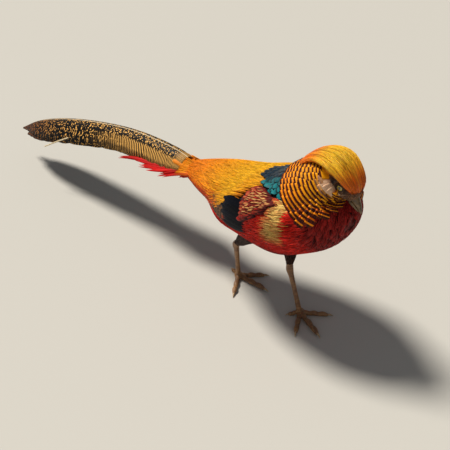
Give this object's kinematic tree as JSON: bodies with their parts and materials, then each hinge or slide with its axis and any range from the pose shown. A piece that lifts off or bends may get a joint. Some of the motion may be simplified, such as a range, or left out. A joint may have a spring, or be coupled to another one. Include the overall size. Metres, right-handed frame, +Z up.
{
  "type": "golden pheasant",
  "caption": "Still, life-size golden pheasant cock, walking with one foot forward and its long tail held clear of the floor.",
  "frame": {"origin": "on the floor, in the middle of the sole of the left, forward foot", "axes": "+X is the way the bird faces, +Y is its left, +Z is up"},
  "size_m": [0.7404, 0.1438, 0.287],
  "materials": {
    "scarlet_plumage": "soft feather, slight sheen",
    "golden_plumage": "silky hair-like feather",
    "barred_ruff": "silky feather with dark bars",
    "crest_plumage": "silky strands with a bright sheen",
    "buff_face": "short downy feather",
    "thigh_plumage": "soft feather",
    "wing_plumage": "firm feather, slight gloss",
    "mottled_tail": "firm feather, mottled",
    "horn": "bill horn, satin",
    "claw_horn": "claw horn, satin",
    "eye": "wet gloss",
    "leg_skin": "scaled skin, satin"
  },
  "bodies": {
    "root": {"bill_lower": "horn", "bill_upper": "horn", "claw_inner_left": "claw_horn", "claw_inner_right": "claw_horn", "claw_middle_left": "claw_horn", "claw_middle_right": "claw_horn", "claw_outer_left": "claw_horn", "claw_outer_right": "claw_horn", "claw_rear_left": "claw_horn", "claw_rear_right": "claw_horn", "crest": "crest_plumage", "eye_left": "eye", "eye_right": "eye", "foot_left": "leg_skin", "foot_right": "leg_skin", "head": "buff_face", "neck_ruff": "barred_ruff", "rump": "golden_plumage", "shank_left": "leg_skin", "shank_right": "leg_skin", "tail": "mottled_tail", "thigh_left": "thigh_plumage", "thigh_right": "thigh_plumage", "torso": "scarlet_plumage", "wing_left": "wing_plumage", "wing_right": "wing_plumage"}
  },
  "joints": []
}
